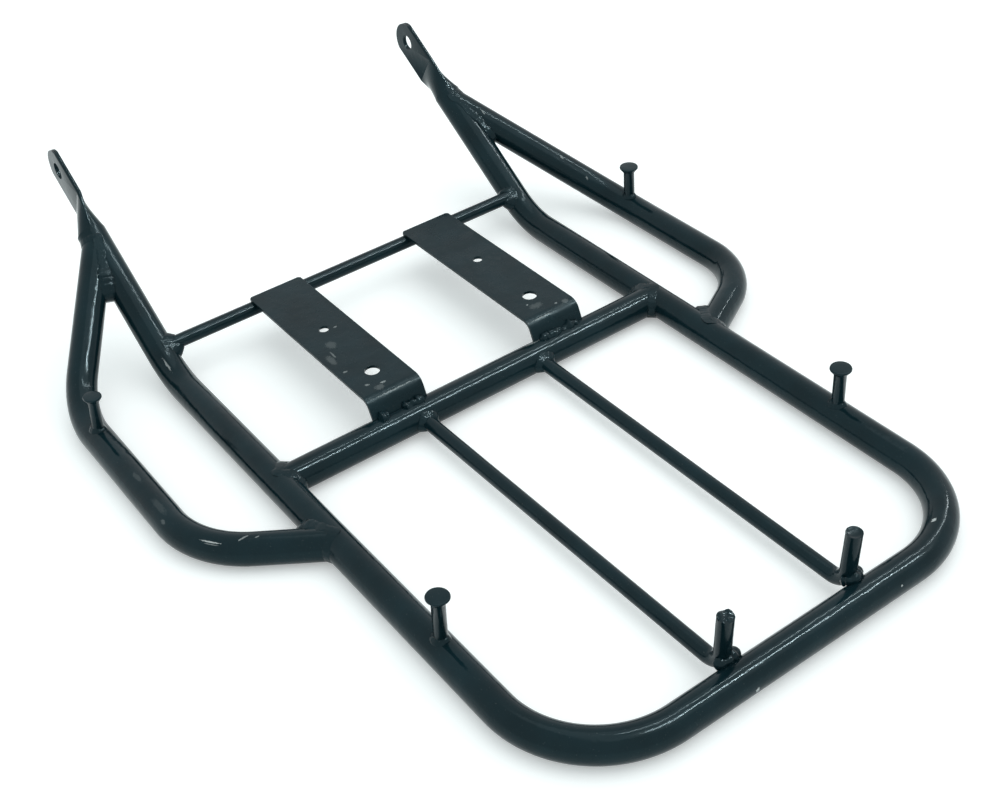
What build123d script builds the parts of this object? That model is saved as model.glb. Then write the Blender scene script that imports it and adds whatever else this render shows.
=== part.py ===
from build123d import *
from math import cos, radians, sin, sqrt, tan
import os

# Rear luggage rack for a motorcycle: bent round tube, round rod and folded strip, all
# welded together. Millimetres. +Y is forward, towards the machine's seat, +X is to the
# right and +Z is up. The rack lies on its tubes, so the floor is the plane Z = 0.
# "Forward" below is the distance ahead of the rear tube's centreline.

os.makedirs("parts", exist_ok=True)

# Stock
tube_diameter = 19.0
tube_wall = 1.6
rod_diameter = 9.0
plate_thickness = 2.0

# Main loop: rear tube, rails and rising arms, bent from one length of tube
rail_spacing = 279.4
rear_corner_radius = 60.0
arm_bend_forward = 405.0
arm_bend_radius = 60.0
arm_angle = 34.5
rear_tube_leg = 20.0

# Lugs: the ends of the arms, pressed flat towards the inside and drilled. Distances run
# along the arm from the corner of its bend
flattening_start = 112.0
flattening_length = 24.0
lug_hole_distance = 162.0
lug_hole_diameter = 11.0
lug_width = 28.0
lug_thickness = 3.0
lug_inset = 3.0
lug_slit = 0.3

# Cross tube and front rod
cross_tube_forward = 271.0
front_rod_along_arm = 19.8
front_rod_above_arm = 4.0

# Side tubes: the straight runs' spacing, then for each side the distance up the arm to
# the upper joint, the bend and corner with their radii, and the joint on the rail
side_run_spacing = 406.0
left_upper_joint = 104.0
left_bend_forward = 412.0
left_bend_radius = 63.0
left_corner_forward = 252.5
left_corner_radius = 61.0
left_rail_joint = 207.5
right_upper_joint = 106.0
right_bend_forward = 380.0
right_bend_radius = 91.0
right_corner_forward = 253.5
right_corner_radius = 54.0
right_rail_joint = 218.5

# Inner rods, turned up as posts just ahead of the rear tube
inner_rod_spacing = 87.4
left_post_shift = 2.8
right_post_shift = 0.9
left_post_height = 46.0
right_post_height = 46.8
post_bend_radius = 11.0
post_lean = 3.0
post_clearance = 0.2

# Mounting plates: strips that lie on the front rod and turn down onto the cross tube
plate_width = 38.0
plate_spacing = 118.5
plate_pair_offset = 4.8
plate_front_overhang = 3.5
plate_bend_radius = 7.0
lip_slope = 22.0
lip_foot_offset = 3.5
plate_corner_cut = 1.5
plate_rear_hole_ahead_of_cross_tube = 31.552
plate_rear_hole_diameter = 9.4
plate_front_hole_behind_rod = 59.7
plate_front_hole_diameter = 6.5

# Tie-down pegs: countersunk heads on plain shanks
peg_diameter = 7.5
peg_head_diameter = 12.8
peg_head_rim = 1.2
peg_head_cone = 3.0
left_rail_peg_forward = 107.5
left_rail_peg_height = 47.0
left_rail_peg_lean = 2.8
right_rail_peg_forward = 109.5
right_rail_peg_height = 44.3
left_side_peg_forward = 378.0
left_side_peg_height = 42.0
right_side_peg_forward = 368.0
right_side_peg_height = 43.0

# Weld beads
seam_bead_height = 1.8
seam_bead_width = 4.6
seam_bead_chamfer = 0.8
rod_bead_leg = 2.4
peg_bead_leg = 2.0
post_lump_radius = 6.5
post_lump_sink = 2.0
plate_bead_radius = 2.2
plate_bead_standoff = 0.6
crotch_fill_radius = 4.2
crotch_fill_length = 9.0
bead_floor_gap = 0.4

# Beads along the plates' rear lips, each measured from its plate's middle, and the beads
# between the plates' front edges and the front rod
left_outer_bead_start = -16.0
left_outer_bead_length = 8.0
left_inner_bead_start = 1.0
left_inner_bead_length = 15.0
right_rear_bead_start = -15.0
right_rear_bead_length = 30.0
plate_front_bead_length = 25.4

# Sizes that follow from those above
tube_radius = tube_diameter / 2
rod_radius = rod_diameter / 2
rail_x = rail_spacing / 2
side_run_x = side_run_spacing / 2
forward_share = cos(radians(arm_angle))
upward_share = sin(radians(arm_angle))
front_reach = arm_bend_forward + lug_hole_distance * forward_share + lug_width / 2
rear_y = tube_radius - (tube_radius + front_reach) / 2
arm_direction = Vector(0, forward_share, upward_share)


def at(x, forward, up):
    """A point of the rack, centred in the part's frame from front to rear."""
    return Vector(x, rear_y + forward, up)


def arm_point(side, distance, above=0.0):
    """A point on an arm's centreline, or above it, past the corner of its bend."""
    forward = arm_bend_forward + distance * forward_share - above * upward_share
    up = tube_radius + distance * upward_share + above * forward_share
    return at(side * rail_x, forward, up)


def arm_plane(side, distance, inset=0.0):
    """The plane square across an arm, with its X upright, along the flat of the lug."""
    upright = Vector(0, -upward_share, forward_share)
    origin = arm_point(side, distance) - Vector(side * inset, 0, 0)
    return Plane(origin=origin, x_dir=upright, z_dir=arm_direction)


def round_bar(centreline, radius, bore=0.0):
    """A round bar along a centreline, or a tube where it has a bore."""
    with BuildPart() as bar:
        add(centreline.line)
        with BuildSketch(Plane(origin=centreline.line @ 0, z_dir=centreline.line % 0)):
            Circle(radius)
            if bore:
                Circle(bore, mode=Mode.SUBTRACT)
        sweep()
    return bar


def save(piece, node):
    """Label a finished piece and write its file."""
    piece.part.label = node
    export_step(piece.part, f"parts/{node}.step")


# Main loop. It is bent from one tube, and saved as the rear tube with its two corners, the
# rails with their rising arms, and the pressed ends
def loop_line(arm_length):
    """The loop's centreline, up to a distance along each arm from its bend."""
    with BuildLine() as line:
        FilletPolyline(
            arm_point(-1, arm_length),
            arm_point(-1, 0),
            at(-rail_x, 0, tube_radius),
            at(rail_x, 0, tube_radius),
            arm_point(1, 0),
            arm_point(1, arm_length),
            radius=(arm_bend_radius, rear_corner_radius, rear_corner_radius, arm_bend_radius),
        )
    return line


# The outside of the loop as a solid bar, which shapes the ends of what is welded to it
main_form = round_bar(loop_line(flattening_start + tube_diameter), tube_radius)

loop_tube = round_bar(loop_line(flattening_start), tube_radius, tube_radius - tube_wall)
rail_start = Plane(origin=at(0, rear_corner_radius + rear_tube_leg, 0), z_dir=(0, 1, 0))

with BuildPart() as rear_tube:
    add(loop_tube.part)
    split(bisect_by=rail_start, keep=Keep.BOTTOM)
save(rear_tube, "rear_tube")

for name, side in (("left", -1), ("right", 1)):
    with BuildPart() as rail_tube:
        add(loop_tube.part)
        split(bisect_by=rail_start)
        split(bisect_by=Plane(origin=(0, 0, 0), z_dir=(side, 0, 0)))
    save(rail_tube, f"{name}_rail_tube")

# Lugs: the round tube pressed to a flat, folded strip, its end rounded about the hole
flattening_end = flattening_start + flattening_length
lug_fold_wall = (lug_thickness - lug_slit) / 2

for name, side in (("left", -1), ("right", 1)):
    with BuildPart() as lug:
        with BuildSketch(arm_plane(side, flattening_start)):
            Circle(tube_radius)
        with BuildSketch(arm_plane(side, flattening_end, lug_inset)):
            SlotOverall(lug_width, lug_thickness)
        loft()
        with BuildSketch(arm_plane(side, flattening_start)):
            Circle(tube_radius - tube_wall)
        with BuildSketch(arm_plane(side, flattening_end, lug_inset)):
            SlotOverall(lug_width - 2 * lug_fold_wall, lug_slit)
        loft(mode=Mode.SUBTRACT)
        with BuildSketch(arm_plane(side, flattening_end, lug_inset)):
            SlotOverall(lug_width, lug_thickness)
            SlotOverall(lug_width - 2 * lug_fold_wall, lug_slit, mode=Mode.SUBTRACT)
        extrude(amount=lug_hole_distance + lug_width / 2 - flattening_end)
        hole_centre = arm_point(side, lug_hole_distance) - Vector(side * lug_inset, 0, 0)
        lug_face = Plane(origin=hole_centre, x_dir=arm_direction, z_dir=(1, 0, 0))
        with BuildSketch(lug_face):
            Rectangle(lug_width, 2 * lug_width, align=(Align.MIN, Align.CENTER))
            Circle(lug_width / 2, mode=Mode.SUBTRACT)
        extrude(amount=lug_thickness, both=True, mode=Mode.SUBTRACT)
        with BuildSketch(lug_face):
            Circle(lug_hole_diameter / 2)
        extrude(amount=lug_thickness, both=True, mode=Mode.SUBTRACT)
    save(lug, f"{name}_lug")


# Side tubes, each from its arm down to the floor, back, and round to its rail
def side_line(side, upper_joint, bend, bend_radius, corner, corner_radius, rail_joint):
    """A side tube's centreline, from the arm's centreline to the rail's."""
    with BuildLine() as line:
        FilletPolyline(
            arm_point(side, upper_joint),
            at(side * side_run_x, bend, tube_radius),
            at(side * side_run_x, corner, tube_radius),
            at(side * rail_x, rail_joint, tube_radius),
            radius=(bend_radius, corner_radius),
        )
    return line


left_side_line = side_line(
    -1,
    left_upper_joint,
    left_bend_forward,
    left_bend_radius,
    left_corner_forward,
    left_corner_radius,
    left_rail_joint,
)
right_side_line = side_line(
    1,
    right_upper_joint,
    right_bend_forward,
    right_bend_radius,
    right_corner_forward,
    right_corner_radius,
    right_rail_joint,
)
left_side_form = round_bar(left_side_line, tube_radius)
right_side_form = round_bar(right_side_line, tube_radius)

for node, line in (("left_side_tube", left_side_line), ("right_side_tube", right_side_line)):
    with BuildPart() as side_tube:
        add(round_bar(line, tube_radius, tube_radius - tube_wall).part)
        add(main_form.part, mode=Mode.SUBTRACT)
    save(side_tube, node)

# Cross tube between the rails
with BuildLine() as cross_line:
    Line(at(-rail_x, cross_tube_forward, tube_radius), at(rail_x, cross_tube_forward, tube_radius))
cross_form = round_bar(cross_line, tube_radius)

with BuildPart() as cross_tube:
    add(round_bar(cross_line, tube_radius, tube_radius - tube_wall).part)
    add(main_form.part, mode=Mode.SUBTRACT)
save(cross_tube, "cross_tube")

# Front rod, let into the arms a little above their centrelines
front_rod_left = arm_point(-1, front_rod_along_arm, front_rod_above_arm)
front_rod_right = arm_point(1, front_rod_along_arm, front_rod_above_arm)
front_rod_forward = front_rod_right.Y - rear_y

with BuildLine() as front_rod_line:
    Line(front_rod_left, front_rod_right)
front_rod_form = round_bar(front_rod_line, rod_radius)

with BuildPart() as front_cross_rod:
    add(front_rod_form.part)
    add(main_form.part, mode=Mode.SUBTRACT)
save(front_cross_rod, "front_cross_rod")

# Inner rods. The bend just clears the rear tube, and the post leans back over it
bend_reach = tube_radius + post_clearance + rod_radius + post_bend_radius
bend_tangent = post_bend_radius * tan(radians(90 - post_lean) / 2)
post_forward = sqrt(bend_reach**2 - post_bend_radius**2) - bend_tangent
inner_rods = {
    "left": (-inner_rod_spacing / 2, left_post_shift, left_post_height),
    "right": (inner_rod_spacing / 2, right_post_shift, right_post_height),
}
inner_rod_forms = {}
inner_rod_directions = {}

for name, (x, post_shift, post_height) in inner_rods.items():
    post_back = (post_height - tube_radius) * tan(radians(post_lean))
    with BuildLine() as inner_line:
        FilletPolyline(
            at(x, cross_tube_forward, tube_radius),
            at(x + post_shift, post_forward, tube_radius),
            at(x + post_shift, post_forward - post_back, post_height),
            radius=post_bend_radius,
        )
    inner_rod_forms[name] = round_bar(inner_line, rod_radius)
    inner_rod_directions[name] = inner_line.line % 0
    with BuildPart() as inner_rod:
        add(inner_rod_forms[name].part)
        add(cross_form.part, mode=Mode.SUBTRACT)
    save(inner_rod, f"{name}_inner_rod")

# Mounting plates: a strip's profile seen from the side, from the front edge to the lip
plate_underside = front_rod_right.Z + rod_radius
plate_middle = plate_underside + plate_thickness / 2
foot_forward = cross_tube_forward + lip_foot_offset
foot_height = tube_radius + sqrt(tube_radius**2 - lip_foot_offset**2)
lip_run = tan(radians(lip_slope))
plate_forms = {}

for name, side in (("left", -1), ("right", 1)):
    x = side * plate_spacing / 2 + plate_pair_offset
    side_view = Plane(origin=(x - plate_width / 2, rear_y, 0), x_dir=(0, 1, 0), z_dir=(1, 0, 0))
    with BuildPart() as plate:
        with BuildSketch(side_view):
            with BuildLine():
                FilletPolyline(
                    (front_rod_forward + plate_front_overhang, plate_middle),
                    (foot_forward + (plate_middle - foot_height) * lip_run, plate_middle),
                    (foot_forward - plate_thickness * lip_run, foot_height - plate_thickness),
                    radius=plate_bend_radius,
                )
            trace(line_width=plate_thickness)
        extrude(amount=plate_width)
        for forward, diameter in (
            (front_rod_forward - plate_front_hole_behind_rod, plate_front_hole_diameter),
            (cross_tube_forward + plate_rear_hole_ahead_of_cross_tube, plate_rear_hole_diameter),
        ):
            with BuildSketch(Plane(at(x, forward, plate_underside))):
                Circle(diameter / 2)
            extrude(amount=plate_thickness, mode=Mode.SUBTRACT)
        front_corners = plate.edges().filter_by(Axis.Z).group_by(Axis.Y)[-1]
        chamfer(front_corners, plate_corner_cut)
        add(cross_form.part, mode=Mode.SUBTRACT)
    plate_forms[name] = plate
    save(plate, f"{name}_mounting_plate")


# Tie-down pegs
def centreline_at(line, forward):
    """The point where a tube's centreline passes a distance forward of the rear tube."""
    return line.line.intersect(Plane(origin=at(0, forward, 0), z_dir=(0, 1, 0)))[0].center()


pegs = {
    "left_rail": (
        at(-rail_x, left_rail_peg_forward, tube_radius),
        left_rail_peg_height,
        left_rail_peg_lean,
        main_form,
    ),
    "right_rail": (
        at(rail_x, right_rail_peg_forward, tube_radius),
        right_rail_peg_height,
        0.0,
        main_form,
    ),
    "left_side": (
        centreline_at(left_side_line, left_side_peg_forward),
        left_side_peg_height,
        0.0,
        left_side_form,
    ),
    "right_side": (
        centreline_at(right_side_line, right_side_peg_forward),
        right_side_peg_height,
        0.0,
        right_side_form,
    ),
}


def peg_plane(foot, lean):
    """The upright plane through a peg's axis, which leans to the right, with Y along it."""
    tilt = radians(lean)
    return Plane(origin=foot, x_dir=(cos(tilt), 0, -sin(tilt)), z_dir=(0, -1, 0))


for name, (foot, height, lean, carrier) in pegs.items():
    view = peg_plane(foot, lean)
    top = height - foot.Z
    with BuildPart() as peg:
        with BuildSketch(view):
            with BuildLine():
                Polyline(
                    (0, 0),
                    (peg_diameter / 2, 0),
                    (peg_diameter / 2, top - peg_head_rim - peg_head_cone),
                    (peg_head_diameter / 2, top - peg_head_rim),
                    (peg_head_diameter / 2, top),
                    (0, top),
                    close=True,
                )
            make_face()
        revolve(axis=Axis(origin=foot, direction=view.y_dir))
        add(carrier.part, mode=Mode.SUBTRACT)
    save(peg, f"{name}_peg")


# Weld beads
def half_disc(seam_plane, reach):
    """Half an elliptical disc that stands proud of a seam, with its rim chamfered."""
    with BuildPart() as disc:
        with BuildSketch(seam_plane):
            Ellipse(reach + seam_bead_height, tube_radius + seam_bead_height)
        extrude(amount=seam_bead_width / 2, both=True)
        chamfer(disc.edges().filter_by(GeomType.ELLIPSE), seam_bead_chamfer)
        split(bisect_by=Plane(origin=seam_plane.origin, z_dir=seam_plane.x_dir))
    return disc


def seam_bead(node, joint, along, branch, form, fill=False):
    """A bead where a tube ends on another of its own diameter.

    The seam of two such tubes is two half ellipses, one in each plane that halves the
    angle between them. The bead is a chamfered half disc in each plane, standing a
    little proud of the tubes and cut back to their surfaces.
    """
    half_angle = radians(along.get_angle(branch)) / 2
    across = along.cross(branch).normalized()
    inner = (along + branch).normalized()
    outer = (branch - along).normalized()
    inner_reach = tube_radius / sin(half_angle)
    outer_reach = tube_radius / cos(half_angle)
    with BuildPart() as bead:
        add(half_disc(Plane(joint, inner, inner.cross(across)), inner_reach).part)
        add(half_disc(Plane(joint, outer, outer.cross(across)), outer_reach).part)
        if fill:
            with BuildSketch(Plane(origin=joint + inner * inner_reach, z_dir=across)):
                Circle(crotch_fill_radius)
            extrude(amount=crotch_fill_length / 2, both=True)
        add(main_form.part, mode=Mode.SUBTRACT)
        add(form.part, mode=Mode.SUBTRACT)
        split(bisect_by=Plane.XY.offset(bead_floor_gap))
    save(bead, node)


down_the_arm = -arm_direction
rearward = Vector(0, -1, 0)

for name, side, line, form, upper, lower in (
    ("left", -1, left_side_line, left_side_form, left_upper_joint, left_rail_joint),
    ("right", 1, right_side_line, right_side_form, right_upper_joint, right_rail_joint),
):
    seam_bead(
        f"{name}_side_tube_upper_weld",
        arm_point(side, upper),
        down_the_arm,
        line.line % 0,
        form,
        fill=name == "left",
    )
    seam_bead(
        f"{name}_side_tube_lower_weld",
        at(side * rail_x, lower, tube_radius),
        -rearward,
        -(line.line % 1),
        form,
    )
    seam_bead(
        f"{name}_cross_tube_weld",
        at(side * rail_x, cross_tube_forward, tube_radius),
        rearward,
        Vector(-side, 0, 0),
        cross_form,
    )


def collar_bead(node, start, direction, surface, radius, leg, forms):
    """A bead round the end of a rod or peg that stands on a tube's surface."""
    sideways = Vector(1, 0, 0) if abs(direction.Z) > abs(direction.X) else Vector(0, 0, 1)
    normal = sideways.cross(direction)
    with BuildPart() as bead:
        with BuildSketch(Plane(origin=start, x_dir=direction.cross(normal), z_dir=normal)):
            with BuildLine():
                Polyline(
                    (0, 0),
                    (radius + leg, 0),
                    (radius + leg, surface),
                    (radius, surface + leg),
                    (0, surface + leg),
                    close=True,
                )
            make_face()
        revolve(axis=Axis(origin=start, direction=direction))
        for form in forms:
            add(form, mode=Mode.SUBTRACT)
    save(bead, node)


front_rod_surface = sqrt(tube_radius**2 - front_rod_above_arm**2)
for name, side, rod_end in (("left", -1, front_rod_left), ("right", 1, front_rod_right)):
    collar_bead(
        f"{name}_front_rod_weld",
        rod_end,
        Vector(-side, 0, 0),
        front_rod_surface,
        rod_radius,
        rod_bead_leg,
        (main_form.part, front_rod_form.part),
    )
    x, post_shift, post_height = inner_rods[name]
    inner_form = inner_rod_forms[name].part
    collar_bead(
        f"{name}_inner_rod_weld",
        at(x, cross_tube_forward, tube_radius),
        inner_rod_directions[name],
        tube_radius,
        rod_radius,
        rod_bead_leg,
        (cross_form.part, inner_form),
    )
    with BuildPart() as lump:
        lump_centre = at(x + post_shift, post_forward - rod_radius, tube_diameter - post_lump_sink)
        with Locations(lump_centre):
            Sphere(post_lump_radius)
        add(main_form.part, mode=Mode.SUBTRACT)
        add(inner_form, mode=Mode.SUBTRACT)
    save(lump, f"{name}_post_weld")

for name, (foot, height, lean, carrier) in pegs.items():
    upward = peg_plane(foot, lean).y_dir
    with BuildPart() as shank:
        with BuildSketch(Plane(origin=foot, z_dir=upward)):
            Circle(peg_diameter / 2)
        extrude(amount=height - foot.Z)
    collar_bead(
        f"{name}_peg_weld",
        foot,
        upward,
        tube_radius,
        peg_diameter / 2,
        peg_bead_leg,
        (carrier.part, shank.part),
    )


def bar_bead(node, x_start, length, forward, up, forms):
    """A straight bead along X, cut back to the surfaces that it joins."""
    with BuildPart() as bead:
        with BuildSketch(Plane(origin=at(x_start, forward, up), z_dir=(1, 0, 0))):
            Circle(plate_bead_radius)
        extrude(amount=length)
        for form in forms:
            add(form, mode=Mode.SUBTRACT)
    save(bead, node)


lip_beads = (
    ("left_plate_outer_weld", "left", -1, left_outer_bead_start, left_outer_bead_length),
    ("left_plate_inner_weld", "left", -1, left_inner_bead_start, left_inner_bead_length),
    ("right_plate_rear_weld", "right", 1, right_rear_bead_start, right_rear_bead_length),
)
lip_rear = foot_forward - plate_thickness / 2 / cos(radians(lip_slope))
for node, name, side, start, length in lip_beads:
    bar_bead(
        node,
        side * plate_spacing / 2 + plate_pair_offset + start,
        length,
        lip_rear - plate_bead_standoff,
        foot_height,
        (cross_form.part, plate_forms[name].part),
    )

for name, side in (("left", -1), ("right", 1)):
    centre = side * plate_spacing / 2 + plate_pair_offset
    bar_bead(
        f"{name}_plate_front_weld",
        centre - plate_front_bead_length / 2,
        plate_front_bead_length,
        front_rod_forward - rod_radius,
        plate_underside - plate_bead_standoff,
        (front_rod_form.part, plate_forms[name].part),
    )
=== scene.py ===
# %% [markdown]
# A welded motorcycle luggage rack
#
# The rack is bent round tube, round rod and folded strip, welded together and dipped in
# gloss black paint. The constructed pieces give the sizes. This lesson gives each of them
# the surface of the real thing: drawn tube, rippled weld, worn strip and thick paint.

import math
import random

import bmesh
import bpy
from mathutils import Euler, Matrix, Vector, noise


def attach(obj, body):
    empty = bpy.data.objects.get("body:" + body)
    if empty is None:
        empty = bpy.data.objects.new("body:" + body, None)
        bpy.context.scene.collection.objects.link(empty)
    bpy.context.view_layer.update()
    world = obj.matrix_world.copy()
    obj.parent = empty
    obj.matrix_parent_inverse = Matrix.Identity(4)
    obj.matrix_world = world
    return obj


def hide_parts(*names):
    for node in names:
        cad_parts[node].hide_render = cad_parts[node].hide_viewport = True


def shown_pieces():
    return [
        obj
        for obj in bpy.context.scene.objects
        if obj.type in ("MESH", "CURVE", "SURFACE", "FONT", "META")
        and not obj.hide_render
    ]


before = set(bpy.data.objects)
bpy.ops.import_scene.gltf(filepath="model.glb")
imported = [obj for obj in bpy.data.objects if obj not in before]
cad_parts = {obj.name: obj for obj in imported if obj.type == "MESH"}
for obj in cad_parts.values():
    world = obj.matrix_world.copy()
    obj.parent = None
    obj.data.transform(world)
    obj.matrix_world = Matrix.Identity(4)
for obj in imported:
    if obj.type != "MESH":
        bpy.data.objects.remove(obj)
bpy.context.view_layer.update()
print("pieces loaded:", len(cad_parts))

# %% [markdown]
# The photographer stood behind the rack's left side and looked down at 38 degrees, with a
# normal lens. The camera is placed first, so that every later step can be judged through it.

# %% Camera
camera_place = (-0.3796476, -0.6061364, 0.5565165)
camera_turn = (51.8096196, 4.0273172, -36.2015120)
camera_data = bpy.data.cameras.new("camera")
camera_data.sensor_width = 36.0
camera_data.lens = 53.0927
camera = bpy.data.objects.new("camera", camera_data)
camera.location = camera_place
camera.rotation_euler = Euler([math.radians(angle) for angle in camera_turn])
bpy.context.scene.collection.objects.link(camera)
bpy.context.scene.camera = camera
bpy.context.scene.view_settings.view_transform = "Standard"
print("camera height in metres:", camera.location.z)

# %% [markdown]
# The stock and the main positions, in metres. Forward distances are measured from the rear
# tube's centreline, and the arms rise from the rails at a fixed angle. The side tubes run
# beside the rails, further from the middle.

# %% Sizes
tube_radius = 0.0095
rod_radius = 0.0045
rear_y = -0.2715042
rail_x = 0.1397
side_x = 0.203
arm_bend_forward = 0.405
arm_angle = math.radians(34.5)
cross_tube_forward = 0.271
arm_direction = Vector((0, math.cos(arm_angle), math.sin(arm_angle)))
arm_lift = Vector((0, -math.sin(arm_angle), math.cos(arm_angle)))
lug_hole_along = 0.162


def at(x, forward, up):
    """A place on the rack, from its distance ahead of the rear tube."""
    return Vector((x, rear_y + forward, up))


def arm_point(side, distance, above=0.0):
    """A place on an arm, past the corner of its bend and above its centreline."""
    corner = at(side * rail_x, arm_bend_forward, tube_radius)
    return corner + arm_direction * distance + arm_lift * above


print("lug hole height:", round(arm_point(1, lug_hole_along).z, 4))


# %% [markdown]
# A tube bender rolls straight tube round a former, so every centreline is straight runs
# joined by true arcs. The path is sampled finely in the bends and more widely between them.
# The main loop is one such tube: left arm, left rail, rear tube, right rail and right arm.

# %% Bent paths
def bent_path(corners, radii, bend_step=0.0022, run_step=0.006):
    """Points along straight runs joined by arcs of the given radii."""
    corners = [Vector(corner) for corner in corners]
    spots = [corners[0]]
    for before, corner, after, radius in zip(corners, corners[1:], corners[2:], radii):
        into = (before - corner).normalized()
        out = (after - corner).normalized()
        half = into.angle(out) / 2
        start = corner + into * radius / math.tan(half)
        centre = corner + (into + out).normalized() * radius / math.sin(half)
        turn = math.pi - 2 * half
        axis = (start - centre).cross(-into).normalized()
        count = max(4, math.ceil(turn * radius / bend_step))
        for i in range(count + 1):
            spots.append(centre + Matrix.Rotation(turn * i / count, 3, axis) @ (start - centre))
    spots.append(corners[-1])
    path = [spots[0]]
    for spot in spots[1:]:
        last = path[-1]
        gap = (spot - last).length
        count = max(1, round(gap / run_step)) if gap > 1.5 * run_step else 1
        for i in range(1, count + 1):
            path.append(last.lerp(spot, i / count))
    return path


loop_bend_radius = 0.060
arm_tube_end = 0.1125
loop_path = bent_path(
    [
        arm_point(-1, arm_tube_end),
        arm_point(-1, 0),
        at(-rail_x, 0, tube_radius),
        at(rail_x, 0, tube_radius),
        arm_point(1, 0),
        arm_point(1, arm_tube_end),
    ],
    [loop_bend_radius] * 4,
)
print("stations on the loop:", len(loop_path))


# %% [markdown]
# Drawn tube is modelled as it is made: one ring is drawn along the path, and each step is
# one extrusion of the ring's edges. The same tool lays down the weld beads, where the ring
# swells and shrinks with every ripple.

# %% Draw a ring along a path
def frames_along(path, closed=False):
    """At each point of a path: the point and two directions square to the path."""
    frames = []
    count = len(path)
    side = None
    for i, spot in enumerate(path):
        ahead = path[(i + 1) % count] if closed or i + 1 < count else spot
        behind = path[i - 1] if closed or i else spot
        tangent = (ahead - behind).normalized()
        if side is None:
            side = tangent.orthogonal()
        side = (side - tangent * side.dot(tangent)).normalized()
        frames.append((spot, side, tangent.cross(side)))
    return frames


def place_ring(ring, station, radius_at, index):
    """Put a ring's points round one station of the path."""
    spot, side, up = station
    count = len(ring)
    for i, vert in enumerate(ring):
        angle = 2 * math.pi * i / count
        reach = radius_at(index, angle)
        vert.co = spot + side * math.cos(angle) * reach + up * math.sin(angle) * reach


def draw_ring(work, path, radius_at, sides, closed=False):
    """Extrude a ring of edges from station to station, then cap its ends or join them."""
    stations = frames_along(path, closed)
    ring = bmesh.ops.create_circle(work, cap_ends=False, radius=1.0, segments=sides)["verts"]
    edges = list({edge for vert in ring for edge in vert.link_edges})
    place_ring(ring, stations[0], radius_at, 0)
    first_edges = edges
    for index, station in enumerate(stations[1:], 1):
        made = bmesh.ops.extrude_edge_only(work, edges=edges)["geom"]
        fresh = {item for item in made if isinstance(item, bmesh.types.BMVert)}
        follower = {}
        for vert in fresh:
            for edge in vert.link_edges:
                partner = edge.other_vert(vert)
                if partner not in fresh:
                    follower[partner] = vert
        ring = [follower[vert] for vert in ring]
        place_ring(ring, station, radius_at, index)
        edges = [e for e in made if isinstance(e, bmesh.types.BMEdge) and set(e.verts) <= fresh]
    if closed:
        bmesh.ops.bridge_loops(work, edges=edges + first_edges)
    else:
        bmesh.ops.holes_fill(work, edges=edges, sides=0)
        bmesh.ops.holes_fill(work, edges=first_edges, sides=0)


print("heights of the loop's ends in metres:", [round(loop_path[i].z, 4) for i in (0, -1)])

# %% [markdown]
# Each finished piece rides on the rack's one body, names the finish that it takes and hides
# the constructed pieces that it replaces. Its faces shade smoothly up to a sharp angle, so
# the tube looks round and its sawn end stays crisp.

# %% Round stock
finish_of = {}
sharp_angle = math.radians(38)
loop_sides = 56
tube_sides = 48


def new_piece(name, work, slot, replaced=()):
    """Turn finished working geometry into a piece of the rack."""
    bmesh.ops.recalc_face_normals(work, faces=work.faces[:])
    mesh = bpy.data.meshes.new(name)
    work.to_mesh(mesh)
    work.free()
    for face in mesh.polygons:
        face.use_smooth = True
    mesh.set_sharp_from_angle(angle=sharp_angle)
    piece = bpy.data.objects.new(name, mesh)
    bpy.context.scene.collection.objects.link(piece)
    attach(piece, "root")
    finish_of[name] = slot
    if replaced:
        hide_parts(*replaced)
    return piece


def round_stock(name, path, radius, sides, slot, replaced):
    """A plain length of round tube or rod."""
    work = bmesh.new()
    draw_ring(work, path, lambda index, angle: radius, sides)
    return new_piece(name, work, slot, replaced)


loop_tubes = ("rear_tube", "left_rail_tube", "right_rail_tube")
loop = round_stock("loop", loop_path, tube_radius, loop_sides, "tube_paint", loop_tubes)
print("faces on the loop:", len(loop.data.polygons))

# %% [markdown]
# The side tubes start at the arms, come down to the table and run round to the rails. Their
# ends, and those of the cross tube, are hidden inside the tube that they meet. The left side
# tube was sawn a little long and slanting, so one corner of it shows beside the arm.

# %% Side tubes and cross tube
side_tubes = {
    "left": {
        "side": -1,
        "joint": 0.104,
        "bend": 0.412,
        "bend_radius": 0.063,
        "corner": 0.2525,
        "corner_radius": 0.061,
        "rail_joint": 0.2075,
        "extra": 0.0025,
    },
    "right": {
        "side": 1,
        "joint": 0.106,
        "bend": 0.380,
        "bend_radius": 0.091,
        "corner": 0.2535,
        "corner_radius": 0.054,
        "rail_joint": 0.2185,
        "extra": 0.0,
    },
}


def side_path(side, joint, bend, bend_radius, corner, corner_radius, rail_joint, extra):
    """A side tube's centreline, with a little extra length behind the arm."""
    top = arm_point(side, joint)
    turn = at(side * side_x, bend, tube_radius)
    return bent_path(
        [
            top + (top - turn).normalized() * extra,
            turn,
            at(side * side_x, corner, tube_radius),
            at(side * rail_x, rail_joint, tube_radius),
        ],
        [bend_radius, corner_radius],
    )


side_paths = {}
for name, tube in side_tubes.items():
    side_paths[name] = side_path(**tube)
    replaced = (f"{name}_side_tube",)
    round_stock(f"{name}_side", side_paths[name], tube_radius, tube_sides, "tube_paint", replaced)

sawn_slant = 0.25
sawn_end = side_paths["left"][0]
along_tube = (side_paths["left"][1] - sawn_end).normalized()
for vert in bpy.data.objects["left_side"].data.vertices:
    if (vert.co - sawn_end).length < tube_radius * 1.01:
        vert.co += along_tube * (vert.co.x - sawn_end.x) * sawn_slant

cross_ends = [at(side * rail_x, cross_tube_forward, tube_radius) for side in (-1, 1)]
cross_path = bent_path(cross_ends, [])
round_stock("cross", cross_path, tube_radius, tube_sides, "tube_paint", ("cross_tube",))
print("stations on the side tubes:", {name: len(path) for name, path in side_paths.items()})

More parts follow.
